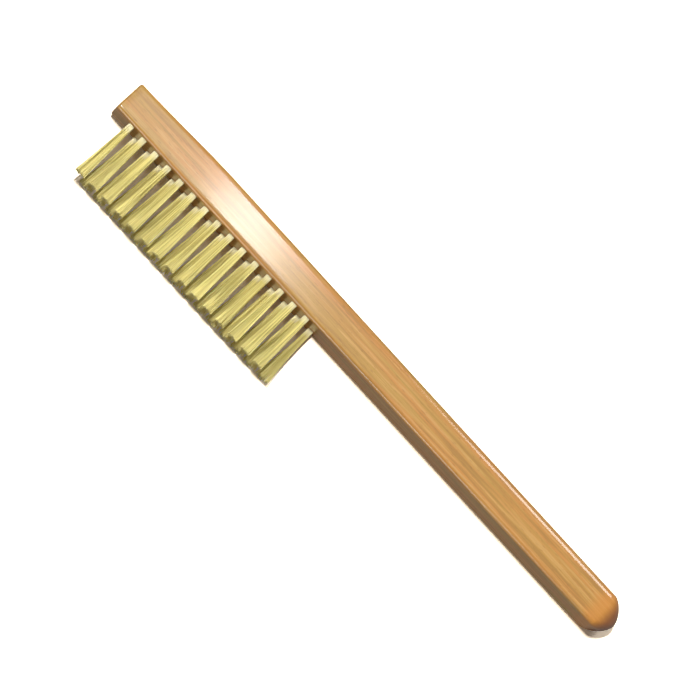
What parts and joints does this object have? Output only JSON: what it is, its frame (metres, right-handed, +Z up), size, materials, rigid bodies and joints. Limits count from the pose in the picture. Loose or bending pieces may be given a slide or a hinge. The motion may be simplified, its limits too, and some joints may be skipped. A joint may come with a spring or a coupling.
{
  "type": "wire brush",
  "caption": "Hand wire brush: a straight wooden stick handle with rounded edges and a domed butt, drilled near one end for staggered rows of brass wire tufts.",
  "frame": {"origin": "centre of the bounding box's bottom face: the brush lies on one side of its stick on the ground plane", "axes": "+X along the handle from the head end to the butt, -Y the way the bristles point, +Y out of the back, +Z up out of the side that faces the viewer"},
  "size_m": [0.3, 0.0466, 0.0165],
  "materials": {
    "lacquered_beech": "satin",
    "brass_wire": "satin",
    "anchor_steel": "satin"
  },
  "bodies": {
    "root": {"wooden_handle": "lacquered_beech", "tuft_upper_01": "brass_wire", "tuft_upper_02": "brass_wire", "tuft_upper_03": "brass_wire", "tuft_upper_04": "brass_wire", "tuft_upper_05": "brass_wire", "tuft_upper_06": "brass_wire", "tuft_upper_07": "brass_wire", "tuft_upper_08": "brass_wire", "tuft_upper_09": "brass_wire", "tuft_upper_10": "brass_wire", "tuft_upper_11": "brass_wire", "tuft_upper_12": "brass_wire", "tuft_upper_13": "brass_wire", "tuft_upper_14": "brass_wire", "tuft_upper_15": "brass_wire", "tuft_lower_01": "brass_wire", "tuft_lower_02": "brass_wire", "tuft_lower_03": "brass_wire", "tuft_lower_04": "brass_wire", "tuft_lower_05": "brass_wire", "tuft_lower_06": "brass_wire", "tuft_lower_07": "brass_wire", "tuft_lower_08": "brass_wire", "tuft_lower_09": "brass_wire", "tuft_lower_10": "brass_wire", "tuft_lower_11": "brass_wire", "tuft_lower_12": "brass_wire", "tuft_lower_13": "brass_wire", "tuft_lower_14": "brass_wire", "tuft_lower_15": "brass_wire", "anchors_upper_row": "anchor_steel", "anchors_lower_row": "anchor_steel"}
  },
  "joints": []
}
